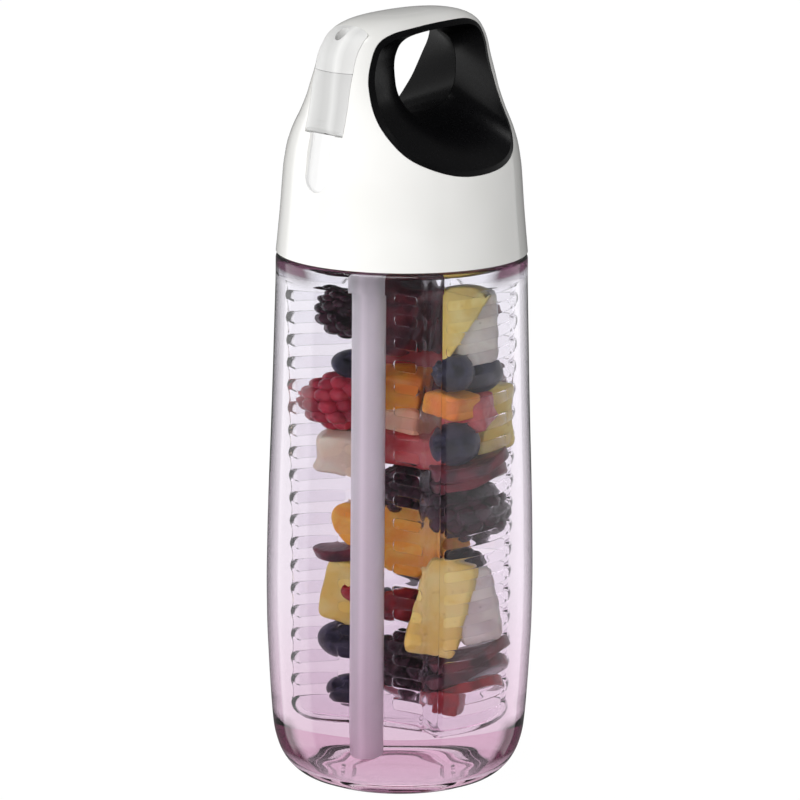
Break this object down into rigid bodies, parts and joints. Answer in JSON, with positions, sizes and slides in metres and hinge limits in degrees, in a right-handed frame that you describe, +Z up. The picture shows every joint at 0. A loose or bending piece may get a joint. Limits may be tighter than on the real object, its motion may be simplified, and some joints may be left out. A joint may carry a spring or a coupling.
{
  "type": "sports water bottle",
  "caption": "Clear barrel-shaped sports bottle with a screw cap, carrying loop, flip spout, straw and slotted fruit infuser basket.",
  "frame": {"origin": "centre of the foot, on the surface that the bottle stands on", "axes": "+Z up, -Y towards the spout, X through the opening of the carrying loop"},
  "size_m": [0.0786, 0.0786, 0.229],
  "materials": {
    "clear_body": "clear, polished",
    "clear_basket": "clear, moulded",
    "white_cap": "white, satin gloss",
    "white_core": "white, moulded",
    "black_liner": "black, satin gloss",
    "frosted_spout": "translucent, frosted",
    "frosted_straw": "translucent, frosted",
    "soft_tip": "soft, frosted",
    "soft_seal": "soft, matte",
    "pin_steel": "plain"
  },
  "bodies": {
    "bottle": {"bottle_body": "clear_body"},
    "seal": {"lid_gasket": "soft_seal"},
    "lid": {"lid_shell": "white_cap", "loop_liner_near": "black_liner", "loop_liner_far": "black_liner", "lid_core": "white_core", "flow_elbow": "frosted_straw", "straw_grommet": "soft_seal", "spout_seat": "soft_seal", "vent_valve": "soft_seal", "infuser_ring": "soft_seal", "hinge_pin_left": "pin_steel", "hinge_pin_right": "pin_steel", "straw": "frosted_straw"},
    "spout": {"spout_body": "frosted_spout", "spout_tip": "soft_tip"},
    "infuser": {"infuser_basket": "clear_basket"}
  },
  "joints": [
    {"name": "lid_rise", "type": "slide", "parent": "bottle", "child": "seal", "axis": [0, 0, 1], "range_m": [0, 0.00751]},
    {"name": "lid_turn", "type": "hinge", "parent": "seal", "child": "lid", "pos_m": [0, 0, 0.1582], "axis": [0, 0, 1], "range_deg": [0, 450]},
    {"name": "spout_flip", "type": "hinge", "parent": "lid", "child": "spout", "pos_m": [0, -0.02873, 0.1986], "axis": [1, 0, 0], "range_deg": [0, 70]},
    {"name": "infuser_release", "type": "slide", "parent": "lid", "child": "infuser", "axis": [0, 0, -1], "range_m": [0, 0.01]}
  ],
  "couplings": [
    {"joint": "lid_rise", "follows": "lid_turn", "m_per_rad": 0.00095493}
  ]
}
